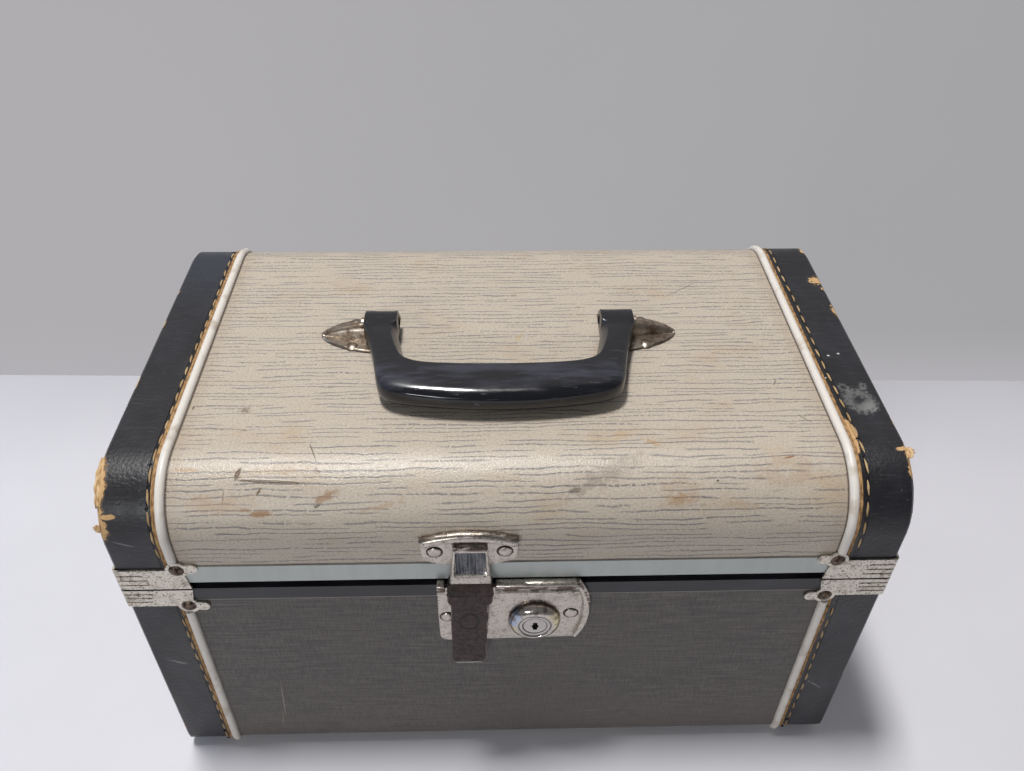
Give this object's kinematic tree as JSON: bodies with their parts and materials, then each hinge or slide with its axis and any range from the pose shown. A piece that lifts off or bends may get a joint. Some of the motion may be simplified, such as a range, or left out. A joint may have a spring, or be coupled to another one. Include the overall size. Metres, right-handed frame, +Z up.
{
  "type": "makeup train case",
  "caption": "Hard-sided vanity train case with a hinged lid, stitched end caps, metal corners, a lever catch with key lock, a folding handle and a lift-out tray.",
  "frame": {"origin": "middle of the case's footprint, on the plane that its feet stand on", "axes": "+X to the right along the case's width, -Y to the front with the catch and lock, +Z up"},
  "size_m": [0.3346, 0.2165, 0.2038],
  "materials": {
    "board": "thin box board, raw inside the coverings",
    "lid_cover": "cream coated cover with broken grey lines, satin, worn",
    "base_cover": "grey brown woven-look coated cover, satin",
    "end_cap": "dark navy leathercloth, satin, chipped at its edges",
    "welt": "off-white plastic welt",
    "trim": "pale grey green enamelled strip",
    "tongue": "black enamelled strip",
    "lining": "woven lining cloth",
    "nickel": "nickel plated sheet, pitted",
    "bracket": "aged nickel plated sheet",
    "corner_rivet": "dark oxidised rivet",
    "chrome": "bright chrome plate",
    "lever": "worn plate over dark oxidised steel",
    "handle": "glossy blue black moulded plastic",
    "mirror": "silvered glass",
    "tray": "cloth covered board"
  },
  "bodies": {
    "base": {"base_shell": "board", "base_cover": "base_cover", "base_end_cap_left": "end_cap", "base_end_cap_right": "end_cap", "base_welt_left": "welt", "base_welt_right": "welt", "base_binding": "end_cap", "base_lining": "lining", "base_corner_front_left": "nickel", "base_corner_front_right": "nickel", "base_corner_back_left": "nickel", "base_corner_back_right": "nickel", "base_corner_rivets": "corner_rivet", "base_hinge_left": "nickel", "base_hinge_right": "nickel", "base_hinge_rivets": "nickel", "rim_tongue": "tongue", "feet": "nickel", "lock_plate": "nickel", "lock_rivets": "nickel", "lock_bezel": "chrome", "lock_cover": "nickel", "lever_pin": "nickel", "hinge_pin_left": "nickel", "hinge_pin_right": "nickel", "stay_base_rivet": "nickel", "tray_ledge_front": "lining", "tray_ledge_back": "lining"},
    "lid": {"lid_shell": "board", "lid_cover": "lid_cover", "lid_end_cap_left": "end_cap", "lid_end_cap_right": "end_cap", "lid_welt_left": "welt", "lid_welt_right": "welt", "lid_trim": "trim", "lid_lining": "lining", "lid_hinge_left": "nickel", "lid_hinge_right": "nickel", "lid_hinge_rivets": "nickel", "lid_corner_front_left": "nickel", "lid_corner_front_right": "nickel", "lid_corner_back_left": "nickel", "lid_corner_back_right": "nickel", "lid_corner_rivets": "corner_rivet", "mirror_glass": "mirror", "mirror_frame": "nickel", "catch_plate": "nickel", "catch_rivets": "nickel", "handle_bracket_left": "bracket", "handle_bracket_right": "bracket", "bracket_rivets": "bracket", "stay_lid_rivet": "nickel"},
    "handle": {"handle_grip": "handle"},
    "lever": {"latch_lever": "lever"},
    "key": {"key_plug": "chrome", "lock_cam": "nickel"},
    "bolt": {"lock_bolt": "nickel"},
    "stay": {"stay_arm": "nickel"},
    "tray": {"lift_out_tray": "tray"}
  },
  "joints": [
    {"name": "lid_hinge", "type": "hinge", "parent": "base", "child": "lid", "pos_m": [0, 0.103, 0.1328], "axis": [-1, 0, 0], "range_deg": [0, 100]},
    {"name": "handle_pivot", "type": "hinge", "parent": "lid", "child": "handle", "pos_m": [-0.003, 0.004, 0.1955], "axis": [-1, 0, 0], "range_deg": [0, 172]},
    {"name": "lever_pivot", "type": "hinge", "parent": "base", "child": "lever", "pos_m": [-0.017, -0.104, 0.1298], "axis": [-1, 0, 0], "range_deg": [0, 100]},
    {"name": "key_turn", "type": "hinge", "parent": "base", "child": "key", "pos_m": [0.0112, -0.099, 0.1078], "axis": [0, 1, 0], "range_deg": [0, 90]},
    {"name": "bolt_slide", "type": "slide", "parent": "base", "child": "bolt", "axis": [-1, 0, 0], "range_m": [0, 0.00511]},
    {"name": "stay_swing", "type": "hinge", "parent": "lid", "child": "stay", "pos_m": [0.1545, 0.04217, 0.1448], "axis": [-1, 0, 0], "range_deg": [-50.01, 0]},
    {"name": "tray_lift", "type": "slide", "parent": "base", "child": "tray", "axis": [0, 0, 1], "range_m": [0, 0.04]}
  ],
  "couplings": [
    {"joint": "stay_swing", "follows": "lid_hinge", "ratio": -0.5},
    {"joint": "bolt_slide", "follows": "key_turn", "m_per_rad": 0.0032411}
  ]
}
